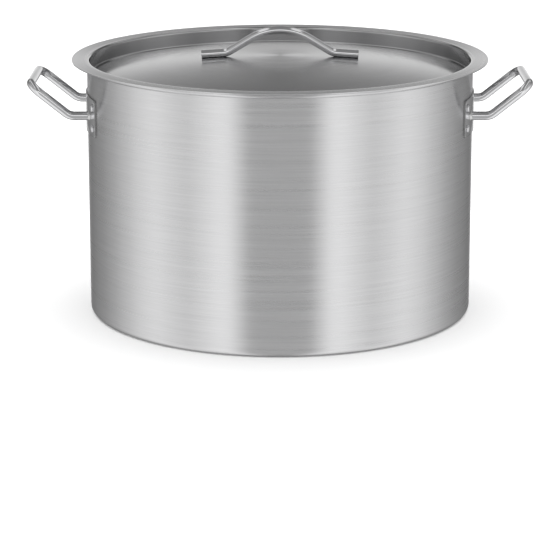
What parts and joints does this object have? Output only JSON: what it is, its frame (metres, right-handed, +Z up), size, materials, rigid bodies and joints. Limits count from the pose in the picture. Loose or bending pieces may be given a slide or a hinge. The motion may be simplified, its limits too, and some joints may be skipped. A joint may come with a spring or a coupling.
{
  "type": "stock pot",
  "caption": "Low straight-sided stainless steel stock pot with a sunken flanged lid, bent-rod lid handle and riveted bent-rod side handles on curved plates.",
  "frame": {"origin": "centre of the base's underside, on the surface the pot stands on", "axes": "+Z up along the pot's axis; X through the two side handles and along the lid handle; Y across the handles"},
  "size_m": [0.521, 0.4328, 0.2989],
  "materials": {
    "brushed_wall": "satin, brushed round the wall",
    "base_steel": "satin, turned",
    "core_aluminium": "plain, closed in",
    "spun_lid": "satin, spun in circles about the middle",
    "polished_rod": "mirror polished",
    "polished_plate": "mirror polished",
    "polished_rivet": "mirror polished",
    "weld_metal": "ground smooth"
  },
  "bodies": {
    "pot": {"pot_shell": "brushed_wall", "base_core": "core_aluminium", "base_cap": "base_steel", "handle_plate_left": "polished_plate", "handle_plate_right": "polished_plate", "side_handle_left": "polished_rod", "side_handle_right": "polished_rod", "arm_weld_left_front": "weld_metal", "arm_weld_left_back": "weld_metal", "arm_weld_right_front": "weld_metal", "arm_weld_right_back": "weld_metal", "rivet_left_front_upper": "polished_rivet", "rivet_left_front_lower": "polished_rivet", "rivet_left_back_upper": "polished_rivet", "rivet_left_back_lower": "polished_rivet", "rivet_right_front_upper": "polished_rivet", "rivet_right_front_lower": "polished_rivet", "rivet_right_back_upper": "polished_rivet", "rivet_right_back_lower": "polished_rivet"},
    "lid": {"lid_pan": "spun_lid", "lid_handle": "polished_rod", "lid_handle_weld_left": "weld_metal", "lid_handle_weld_right": "weld_metal"}
  },
  "joints": [
    {"name": "lid_lift", "type": "slide", "parent": "pot", "child": "lid", "axis": [0, 0, 1], "range_m": [0, 0.3]}
  ]
}
